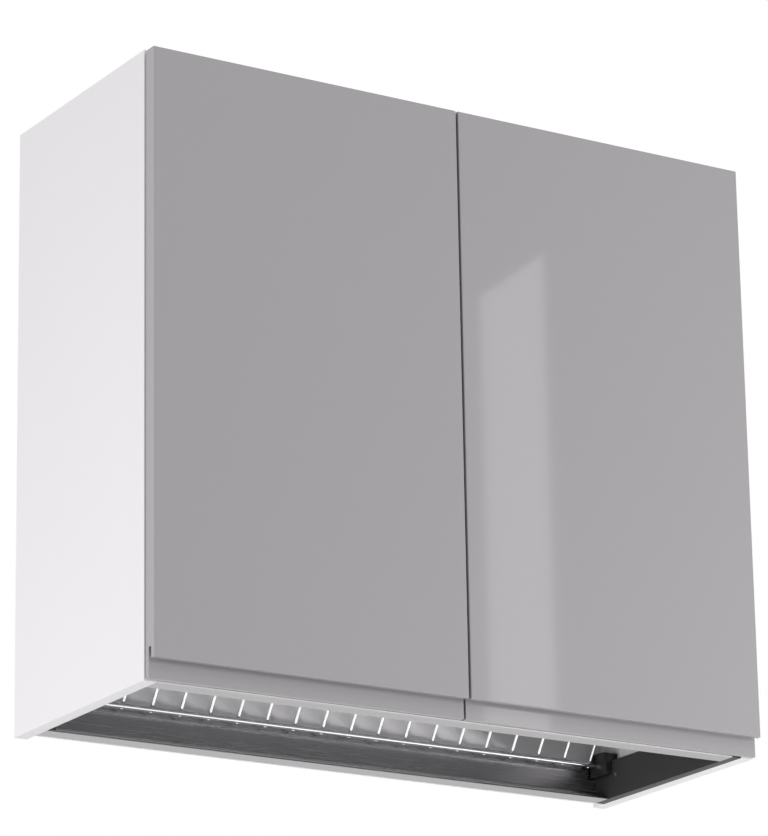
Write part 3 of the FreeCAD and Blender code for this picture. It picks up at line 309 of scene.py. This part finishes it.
def makeFinish(name):
    settings = finishes[name]
    material = bpy.data.materials.new(name)
    material.use_nodes = True
    nodes, links = material.node_tree.nodes, material.node_tree.links
    shader = nodes["Principled BSDF"]
    grain = nodes.new("ShaderNodeGroup")
    grain.node_tree = effects["grain"]
    grain.inputs["Stretch"].default_value = settings["stretch"]
    grain.inputs["Scale"].default_value = settings["grainScale"]
    grain.inputs["Low"].default_value, grain.inputs["High"].default_value = settings["roughness"]
    drift = nodes.new("ShaderNodeGroup")
    drift.node_tree = effects["drift"]
    drift.inputs["Stretch"].default_value = settings["stretch"]
    drift.inputs["Scale"].default_value = settings["driftScale"]
    drift.inputs["First"].default_value = (*settings["first"], 1.0)
    drift.inputs["Second"].default_value = (*settings["second"], 1.0)
    bump = nodes.new("ShaderNodeBump")
    bump.inputs["Strength"].default_value = settings["bump"]
    bump.inputs["Distance"].default_value = settings["bumpDepth"]
    links.new(grain.outputs["Height"], bump.inputs["Height"])
    links.new(bump.outputs["Normal"], shader.inputs["Normal"])
    links.new(grain.outputs["Mask"], shader.inputs["Roughness"])
    links.new(drift.outputs["Colour"], shader.inputs["Base Color"])
    shader.inputs["Metallic"].default_value = settings["metallic"]
    shader.inputs["Coat Weight"].default_value = settings["coat"]
    shader.inputs["Coat Roughness"].default_value = coatRoughness
    return material


materials = {name: makeFinish(name) for name in finishes}
padShader = materials["clearPad"].node_tree.nodes["Principled BSDF"]
padShader.inputs["Transmission Weight"].default_value = padClearness

# The finish of each material slot of the record
slotFinishes = {
    "white_board": "whiteBoard", "door_lacquer": "doorLacquer", "clear_bumper": "clearPad",
    "dowel_wood": "beech", "aluminium_profile": "aluminium", "dark_plastic": "darkPlastic",
    "black_plastic": "blackPlastic", "chrome_wire": "chrome", "tray_plastic": "trayPlastic",
    "white_plastic": "whitePlastic", "zinc": "zincPlate", "nickel_steel": "nickelSteel",
    "black_steel": "blackSteel",
}


def paintOf(slot):
    return materials[slotFinishes[slot]]


# Every node of the frame takes the finish of its own slot.
def dressNodes():
    for part in frame["record"]["subparts"]:
        node = frame["nodes"][part["node"]]
        node.data.materials.clear()
        node.data.materials.append(paintOf(part["material_slot"]))
    print("nodes dressed")


# The piece stands for the node, on its body, and the node is hidden.
def finishPiece(piece, node):
    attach(piece, bodyOf[node])
    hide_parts(node)


# The evaluated geometry of an object as a plain object of its own.
def plainMesh(source, name):
    bpy.context.view_layer.update()
    graph = bpy.context.evaluated_depsgraph_get()
    mesh = bpy.data.meshes.new_from_object(source.evaluated_get(graph))
    mesh.name = name
    piece = placed(name, mesh)
    old = source.data
    bpy.data.objects.remove(source)
    bpy.data.meshes.remove(old)
    return piece


# A bmesh as an object in the finish of a slot.
def solidPiece(work, name, slot, degrees):
    mesh = bpy.data.meshes.new(name)
    work.to_mesh(mesh)
    work.free()
    piece = placed(name, mesh)
    mesh.materials.append(paintOf(slot))
    smoothByAngle(piece, degrees)
    return piece


# A geometry tree with the inputs that are named, between Geometry and Finish.
def newTree(name, inputs):
    tree = bpy.data.node_groups.new(name, "GeometryNodeTree")
    for label, kind in (("Geometry", "Geometry"), *inputs, ("Finish", "Material")):
        tree.interface.new_socket(label, in_out="INPUT", socket_type="NodeSocket" + kind)
    tree.interface.new_socket("Geometry", in_out="OUTPUT", socket_type="NodeSocketGeometry")
    return tree, tree.nodes.new("NodeGroupInput")


# The end of a tree: its copies are realized, painted and sent out.
def paintCopies(tree, source, copies):
    real = tree.nodes.new("GeometryNodeRealizeInstances")
    tree.links.new(copies.outputs["Instances"], real.inputs["Geometry"])
    paint = tree.nodes.new("GeometryNodeSetMaterial")
    tree.links.new(real.outputs["Geometry"], paint.inputs["Geometry"])
    tree.links.new(source.outputs["Finish"], paint.inputs["Material"])
    tree.links.new(paint.outputs["Geometry"], tree.nodes.new("NodeGroupOutput").inputs["Geometry"])


# Runs a tree on points or a polyline and returns the result as a plain mesh object.
def runTree(tree, name, points, edges, values, aims=()):
    mesh = bpy.data.meshes.new(name + "Path")
    mesh.from_pydata(points, edges, [])
    if aims:
        held = mesh.attributes.new("aim", "FLOAT_VECTOR", "POINT")
        held.data.foreach_set("vector", [value for aim in aims for value in aim])
    source = placed(name + "Path", mesh)
    modifier = source.modifiers.new("tree", "NODES")
    modifier.node_group = tree
    sockets = [item for item in tree.interface.items_tree if item.in_out == "INPUT"]
    identifiers = {socket.name: socket.identifier for socket in sockets}
    for label, value in values.items():
        modifier[identifiers[label]] = value
    piece = plainMesh(source, name)
    smoothByAngle(piece, smoothLimit)
    return piece


# Smooth faces, with edges sharper than the angle kept sharp.
def smoothByAngle(piece, degrees):
    mesh = piece.data
    mesh.polygons.foreach_set("use_smooth", [True] * len(mesh.polygons))
    work = bmesh.new()
    work.from_mesh(mesh)
    limit = math.radians(degrees)
    for edge in work.edges:
        edge.smooth = len(edge.link_faces) == 2 and edge.calc_face_angle(0.0) < limit
    work.to_mesh(mesh)
    work.free()


# Wires and rods

rackSettings = {
    # lengths in millimetres, legAngle in degrees
    "wireRadius": 2.25, "rodRadius": 3.0, "weldDepth": 0.2, "pitch": 37.5, "count": 20,
    "wireSides": 20, "rodSides": 32, "bendSteps": 8,
    "lower": {"rodOffset": 38.0, "rodHeight": 42.0, "top": 75.0, "legAngle": 56.0, "tail": 5.0,
              "bend": 8.0},
    # the shares are places along the wire from rod to rod, then shares of the front and the rear hump
    "plate": {"rodOffset": 60.0, "rodHeight": 340.0, "tail": 8.0, "bend": 6.0, "frontHump": 45.0,
              "rearHump": 60.0,
              "shares": ((0.03, 0, 0), (0.10, 1, 0), (0.20, 1, 0), (0.29, 0, 0), (0.70, 0, 0), (0.78, 0, 1),
                         (0.88, 0, 1), (0.96, 0, 0))},
}


# A row of equal bent wires from one path: fillet, sweep, repeat.
def makeWireTree():
    tree, source = newTree("wireRow", (
        ("Wire Radius", "Float"), ("Bend Radius", "Float"), ("Pitch", "Float"), ("Count", "Int"),
        ("Start", "Vector"), ("Sides", "Int")))
    nodes, links = tree.nodes, tree.links
    path = nodes.new("GeometryNodeMeshToCurve")
    links.new(source.outputs["Geometry"], path.inputs["Mesh"])
    fillet = nodes.new("GeometryNodeFilletCurve")
    fillet.mode = "POLY"
    links.new(path.outputs["Curve"], fillet.inputs["Curve"])
    fillet.inputs["Count"].default_value = rackSettings["bendSteps"]
    fillet.inputs["Limit Radius"].default_value = True
    links.new(source.outputs["Bend Radius"], fillet.inputs["Radius"])
    ring = nodes.new("GeometryNodeCurvePrimitiveCircle")
    links.new(source.outputs["Wire Radius"], ring.inputs["Radius"])
    links.new(source.outputs["Sides"], ring.inputs["Resolution"])
    sweep = nodes.new("GeometryNodeCurveToMesh")
    sweep.inputs["Fill Caps"].default_value = True
    links.new(fillet.outputs["Curve"], sweep.inputs["Curve"])
    links.new(ring.outputs["Curve"], sweep.inputs["Profile Curve"])
    step = nodes.new("ShaderNodeCombineXYZ")
    links.new(source.outputs["Pitch"], step.inputs["X"])
    line = nodes.new("GeometryNodeMeshLine")
    links.new(source.outputs["Count"], line.inputs["Count"])
    links.new(source.outputs["Start"], line.inputs["Start Location"])
    links.new(step.outputs["Vector"], line.inputs["Offset"])
    copies = nodes.new("GeometryNodeInstanceOnPoints")
    links.new(line.outputs["Mesh"], copies.inputs["Points"])
    links.new(sweep.outputs["Mesh"], copies.inputs["Instance"])
    paintCopies(tree, source, copies)
    return tree


# The carcass's front and rear in Y, in millimetres.
def carcassSpan():
    low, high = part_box("side_panel_left")
    return low[1] / millimetre, high[1] / millimetre


def wireRow(tree, name, corners, bend):
    points = [(0.0, along * millimetre, up * millimetre) for along, up in corners]
    edges = [(index, index + 1) for index in range(len(points) - 1)]
    count, pitch = rackSettings["count"], rackSettings["pitch"] * millimetre
    piece = runTree(tree, name, points, edges, {
        "Wire Radius": rackSettings["wireRadius"] * millimetre, "Bend Radius": bend * millimetre,
        "Pitch": pitch, "Count": count, "Start": (-(count - 1) / 2 * pitch, 0.0, 0.0),
        "Sides": rackSettings["wireSides"], "Finish": paintOf("chrome_wire")})
    finishPiece(piece, name + "_wires")


def makeLowerWires(tree):
    settings = rackSettings["lower"]
    front, rear = carcassSpan()
    slope = math.radians(settings["legAngle"])
    reach = rackSettings["rodRadius"] + rackSettings["wireRadius"] - rackSettings["weldDepth"]
    rearAlong = rear - settings["rodOffset"] + reach * math.sin(slope)
    rearUp = settings["rodHeight"] + reach * math.cos(slope)
    end = (rearAlong + settings["tail"] * math.cos(slope), rearUp - settings["tail"] * math.sin(slope))
    top = (rearAlong - (settings["top"] - rearUp) / math.tan(slope), settings["top"])
    across = front + rear
    corners = [end, top, (across - top[0], top[1]), (across - end[0], end[1])]
    wireRow(tree, "lower_rack", corners, settings["bend"])


def makePlateWires(tree):
    settings = rackSettings["plate"]
    front, rear = carcassSpan()
    front, rear = front + settings["rodOffset"], rear - settings["rodOffset"]
    reach = rackSettings["rodRadius"] + rackSettings["wireRadius"] - rackSettings["weldDepth"]
    base = settings["rodHeight"] + reach
    corners = [(front - settings["tail"], base)]
    for along, low, high in settings["shares"]:
        corners.append((front + along * (rear - front),
                        base + low * settings["frontHump"] + high * settings["rearHump"]))
    corners.append((rear + settings["tail"], base))
    wireRow(tree, "plate_rack", corners, settings["bend"])


# Two smooth rods in place of the node's.
def makeRods(node):
    low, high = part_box(node)
    radius = rackSettings["rodRadius"] * millimetre
    height = (low[2] + high[2]) / 2
    work = bmesh.new()
    for along in (low[1] + radius, high[1] - radius):
        made = bmesh.ops.create_cone(work, cap_ends=True, segments=rackSettings["rodSides"], radius1=radius,
                                     radius2=radius, depth=high[0] - low[0])
        turn = Matrix.Translation(Vector((0.0, along, height))) @ Matrix.Rotation(math.pi / 2, 4, "Y")
        bmesh.ops.transform(work, matrix=turn, verts=made["verts"])
    finishPiece(solidPiece(work, node + "_bright", "chrome_wire", smoothLimit), node)


def makeRacks():
    tree = makeWireTree()
    makeLowerWires(tree)
    makePlateWires(tree)
    makeRods("lower_rack_rods")
    makeRods("plate_rack_rods")
    print("racks made")


# Moulded holders of the rods, with softened edges

# edge in millimetres, level and sharp in degrees
holderSettings = {"edge": 0.5, "steps": 2, "roundness": 0.5, "level": 1.0, "sharp": 30.0}


def makeHolders():
    settings = holderSettings
    for node in ("lower_rack_brackets", "plate_rack_brackets"):
        work = bmesh.new()
        work.from_mesh(frame["nodes"][node].data)
        bmesh.ops.remove_doubles(work, verts=work.verts, dist=weldDistance)
        bmesh.ops.dissolve_limit(work, angle_limit=math.radians(settings["level"]), verts=work.verts,
                                 edges=work.edges)
        limit = math.radians(settings["sharp"])
        corners = [edge for edge in work.edges
                   if len(edge.link_faces) == 2 and edge.calc_face_angle(0.0) > limit]
        bmesh.ops.bevel(work, geom=corners, offset=settings["edge"] * millimetre, offset_type="OFFSET",
                        segments=settings["steps"], profile=settings["roundness"], affect="EDGES",
                        clamp_overlap=True)
        piece = solidPiece(work, node + "_moulded", "black_plastic", settings["sharp"])
        finishPiece(piece, node)
    print("holders made")


# Drip tray

traySettings = {
    # the values with a point are millimetres, smooth is in degrees
    "cornerRadius": 17.0, "rimWidth": 5.0, "rimThickness": 2.0, "wall": 2.0,
    "edgeRadius": 0.5, "footRadius": 2.5, "ribWidth": 3.0, "ribHeight": 1.6, "ribMargin": 18.0,
    "cornerSteps": 10, "ribCount": 9, "ribSides": 16, "smooth": 35,
    # shares of the quarter turn at which the foot's outside and inside are bent
    "footTurns": (0.3, 0.6, 1.0), "insideTurns": (0.4, 0.7, 1.0),
}


# Corners of a level rounded rectangle, inset from a box.
def roundedRing(low, high, inset, height, radius, steps):
    ring = []
    centres = ((high[0] - inset - radius, high[1] - inset - radius, 0),
               (low[0] + inset + radius, high[1] - inset - radius, 1),
               (low[0] + inset + radius, low[1] + inset + radius, 2),
               (high[0] - inset - radius, low[1] + inset + radius, 3))
    for across, along, quarter in centres:
        for step in range(steps + 1):
            angle = (quarter + step / steps) * math.pi / 2
            ring.append((across + radius * math.cos(angle), along + radius * math.sin(angle), height))
    return ring


# A row of equal low ribs with rounded tops.
def makeRibTree():
    tree, source = newTree("ribRow", (("Width", "Float"), ("Length", "Float"), ("Rise", "Float")))
    nodes, links = tree.nodes, tree.links
    rib = nodes.new("GeometryNodeMeshCylinder")
    rib.inputs["Vertices"].default_value = traySettings["ribSides"]
    # one unit wide and long; the copies are scaled to size
    rib.inputs["Radius"].default_value = 0.5
    rib.inputs["Depth"].default_value = 1.0
    turned = nodes.new("GeometryNodeTransform")
    turned.inputs["Rotation"].default_value = (0.0, math.pi / 2, 0.0)
    links.new(rib.outputs["Mesh"], turned.inputs["Geometry"])
    size = nodes.new("ShaderNodeCombineXYZ")
    links.new(source.outputs["Length"], size.inputs["X"])
    links.new(source.outputs["Width"], size.inputs["Y"])
    links.new(source.outputs["Rise"], size.inputs["Z"])
    copies = nodes.new("GeometryNodeInstanceOnPoints")
    links.new(source.outputs["Geometry"], copies.inputs["Points"])
    links.new(turned.outputs["Geometry"], copies.inputs["Instance"])
    links.new(size.outputs["Vector"], copies.inputs["Scale"])
    paintCopies(tree, source, copies)
    return tree


# A moulded tray with a rolled rim and rounded foot, and drainage ribs on its floor.
def makeTray():
    size = {key: value * millimetre for key, value in traySettings.items() if isinstance(value, float)}
    low, high = (Vector(corner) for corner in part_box("drip_tray"))
    base, top = low.z, high.z
    edge, foot, wall = size["edgeRadius"], size["footRadius"], size["wall"]
    outer, inner = size["rimWidth"], size["rimWidth"] + wall
    under = top - size["rimThickness"]
    profile = [(outer + foot, base)]
    for share in traySettings["footTurns"]:
        turn = share * math.pi / 2
        profile.append((outer + foot * (1 - math.sin(turn)), base + foot * (1 - math.cos(turn))))
    profile += [(outer, under), (edge, under), (0.0, under + edge), (0.0, top - edge), (edge, top),
                (inner - edge, top), (inner, top - edge), (inner, base + wall + foot)]
    for share in traySettings["insideTurns"]:
        turn = share * math.pi / 2
        profile.append((inner + foot * (1 - math.cos(turn)), base + wall + foot * (1 - math.sin(turn))))
    work = bmesh.new()
    rings = []
    for inset, height in profile:
        spots = roundedRing(low, high, inset, height, size["cornerRadius"] - inset,
                            traySettings["cornerSteps"])
        rings.append([work.verts.new(spot) for spot in spots])
    count = len(rings[0])
    for first, second in zip(rings, rings[1:]):
        for index in range(count):
            after = (index + 1) % count
            work.faces.new((first[index], first[after], second[after], second[index]))
    work.faces.new(list(reversed(rings[0])))
    work.faces.new(rings[-1])
    bmesh.ops.recalc_face_normals(work, faces=work.faces)
    tray = solidPiece(work, "tray_moulded", "tray_plastic", traySettings["smooth"])
    finishPiece(tray, "drip_tray")

    count, margin = traySettings["ribCount"], size["ribMargin"]
    span = (high.y - low.y) - 2 * (inner + margin)
    middle = (low.x + high.x) / 2
    spots = [(middle, low.y + inner + margin + span * index / (count - 1), base + wall)
             for index in range(count)]
    ribs = runTree(makeRibTree(), "tray_ribs", spots, [], {
        "Width": size["ribWidth"], "Length": (high.x - low.x) - 2 * (inner + margin),
        "Rise": 2 * size["ribHeight"], "Finish": paintOf("tray_plastic")})
    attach(ribs, bodyOf["drip_tray"])
    print("tray made")


# Screws with cross recesses

screwSettings = {
    # head and shank in millimetres, and the axis that the screws lie on
    "end_plate_screws": {"head": (3.5, 2.4), "shank": 2.0, "slot": "zinc", "axis": 0},
    "lower_rack_screws": {"head": (3.2, 2.0), "shank": 1.75, "slot": "black_steel", "axis": 0},
    "plate_rack_screws": {"head": (3.2, 2.0), "shank": 1.75, "slot": "black_steel", "axis": 0},
    "hinge_plate_screws": {"head": (3.6, 1.8), "shank": 2.5, "slot": "zinc", "axis": 0},
    "hinge_arm_screws": {"head": (3.6, 2.0), "shank": 2.0, "slot": "zinc", "axis": 0},
    "hinge_cup_screws_left": {"head": (3.2, 1.4), "shank": 1.75, "slot": "zinc", "axis": 1},
    "hinge_cup_screws_right": {"head": (3.2, 1.4), "shank": 1.75, "slot": "zinc", "axis": 1},
    "hanger_screws": {"head": (4.5, 1.5), "shank": 3.0, "slot": "zinc", "axis": 1},
}
# shares of the head's radius or length
recessSettings = {"width": 0.24, "reach": 1.25, "depth": 0.7, "dome": 0.4}
screwSides = {"head": 32, "headRings": 6, "shank": 20, "shankRings": 1}


# Screws on points, each along its own aim: a head with a cross recess, a shank, one join.
def makeScrewTree():
    tree, source = newTree("crossScrews", [(label, "Float") for label in (
        "Head Radius", "Head Length", "Shank Radius", "Shank Length", "Recess Width", "Recess Reach",
        "Recess Depth", "Dome")])
    nodes, links = tree.nodes, tree.links

    # Half of a length, downwards.
    def halfDown(name):
        drop = nodes.new("ShaderNodeCombineXYZ")
        links.new(combined(tree, "MULTIPLY", source.outputs[name], -0.5), drop.inputs["Z"])
        return drop.outputs["Vector"]

    def moved(geometry, offset):
        shift = nodes.new("GeometryNodeTransform")
        links.new(geometry, shift.inputs["Geometry"])
        links.new(offset, shift.inputs["Translation"])
        return shift.outputs["Geometry"]

    def bar(radius, length, sides, rings):
        drum = nodes.new("GeometryNodeMeshCylinder")
        drum.inputs["Vertices"].default_value = sides
        drum.inputs["Fill Segments"].default_value = rings
        links.new(source.outputs[radius], drum.inputs["Radius"])
        links.new(source.outputs[length], drum.inputs["Depth"])
        return drum.outputs["Mesh"]

    # Lowers the upper end by the dome times the squared share of the radius.
    def domed(geometry):
        position = nodes.new("GeometryNodeInputPosition")
        axes = nodes.new("ShaderNodeSeparateXYZ")
        links.new(position.outputs["Position"], axes.inputs["Vector"])
        squares = []
        for name in ("X", "Y"):
            share = combined(tree, "DIVIDE", axes.outputs[name], source.outputs["Head Radius"])
            squares.append(combined(tree, "MULTIPLY", share, share))
        fall = combined(tree, "MULTIPLY", combined(tree, "ADD", *squares), source.outputs["Dome"])
        offset = nodes.new("ShaderNodeCombineXYZ")
        links.new(combined(tree, "MULTIPLY", fall, -1.0), offset.inputs["Z"])
        upper = nodes.new("FunctionNodeCompare")
        upper.operation = "GREATER_THAN"
        links.new(axes.outputs["Z"], upper.inputs["A"])
        shaped = nodes.new("GeometryNodeSetPosition")
        links.new(geometry, shaped.inputs["Geometry"])
        links.new(upper.outputs["Result"], shaped.inputs["Selection"])
        links.new(offset.outputs["Vector"], shaped.inputs["Offset"])
        return shaped.outputs["Geometry"]

    drum = bar("Head Radius", "Head Length", screwSides["head"], screwSides["headRings"])
    head = moved(domed(drum), halfDown("Head Length"))
    blades = []
    for first, second in (("Recess Width", "Recess Reach"), ("Recess Reach", "Recess Width")):
        blade = nodes.new("GeometryNodeMeshCube")
        size = nodes.new("ShaderNodeCombineXYZ")
        links.new(source.outputs[first], size.inputs["X"])
        links.new(source.outputs[second], size.inputs["Y"])
        links.new(source.outputs["Recess Depth"], size.inputs["Z"])
        links.new(size.outputs["Vector"], blade.inputs["Size"])
        blades.append(blade.outputs["Mesh"])
    carved = nodes.new("GeometryNodeMeshBoolean")
    carved.operation = "DIFFERENCE"
    links.new(head, carved.inputs["Mesh 1"])
    for blade in blades:
        links.new(blade, carved.inputs["Mesh 2"])
    headHeight = nodes.new("ShaderNodeCombineXYZ")
    links.new(source.outputs["Head Length"], headHeight.inputs["Z"])
    drop = nodes.new("ShaderNodeVectorMath")
    drop.operation = "SUBTRACT"
    links.new(halfDown("Shank Length"), drop.inputs[0])
    links.new(headHeight.outputs["Vector"], drop.inputs[1])
    pin = bar("Shank Radius", "Shank Length", screwSides["shank"], screwSides["shankRings"])
    shank = moved(pin, drop.outputs["Vector"])
    joinBoth = nodes.new("GeometryNodeJoinGeometry")
    links.new(carved.outputs["Mesh"], joinBoth.inputs["Geometry"])
    links.new(shank, joinBoth.inputs["Geometry"])
    aim = nodes.new("GeometryNodeInputNamedAttribute")
    aim.data_type = "FLOAT_VECTOR"
    aim.inputs["Name"].default_value = "aim"
    align = nodes.new("FunctionNodeAlignRotationToVector")
    align.axis = "Z"
    links.new(aim.outputs["Attribute"], align.inputs["Vector"])
    copies = nodes.new("GeometryNodeInstanceOnPoints")
    links.new(source.outputs["Geometry"], copies.inputs["Points"])
    links.new(joinBoth.outputs["Geometry"], copies.inputs["Instance"])
    links.new(align.outputs["Rotation"], copies.inputs["Rotation"])
    paintCopies(tree, source, copies)
    return tree


# Box of each separate solid of a node, from its CAD mesh.
def looseParts(node):
    work = bmesh.new()
    work.from_mesh(frame["nodes"][node].data)
    bmesh.ops.remove_doubles(work, verts=work.verts, dist=weldDistance)
    left = set(work.verts)
    boxes = []
    while left:
        stack, found = [left.pop()], []
        while stack:
            vertex = stack.pop()
            found.append(vertex.co.copy())
            for edge in vertex.link_edges:
                other = edge.other_vert(vertex)
                if other in left:
                    left.remove(other)
                    stack.append(other)
        boxes.append((Vector(min(spot[axis] for spot in found) for axis in range(3)),
                      Vector(max(spot[axis] for spot in found) for axis in range(3))))
    work.free()
    return boxes


def makeScrews():
    tree = makeScrewTree()
    for node, settings in screwSettings.items():
        axis = settings["axis"]
        headRadius, headLength = (value * millimetre for value in settings["head"])
        spots, aims, lengths = [], [], []
        for low, high in looseParts(node):
            middle = (low + high) / 2
            sign = -1.0 if middle[axis] > 0 else 1.0
            spot = middle.copy()
            spot[axis] = high[axis] if sign > 0 else low[axis]
            aim = Vector((0.0, 0.0, 0.0))
            aim[axis] = sign
            spots.append(tuple(spot))
            aims.append(aim)
            lengths.append(high[axis] - low[axis])
        piece = runTree(tree, node + "_cross", spots, [], {
            "Head Radius": headRadius, "Head Length": headLength,
            "Shank Radius": settings["shank"] * millimetre, "Shank Length": min(lengths) - headLength,
            "Recess Width": recessSettings["width"] * headRadius,
            "Recess Reach": recessSettings["reach"] * headRadius,
            "Recess Depth": 2 * recessSettings["depth"] * headLength,
            "Dome": recessSettings["dome"] * headLength, "Finish": paintOf(settings["slot"])}, aims)
        finishPiece(piece, node)
    print("screws made")


dressNodes()
makeRacks()
makeHolders()
makeTray()
makeScrews()
setStudio()
setCamera()
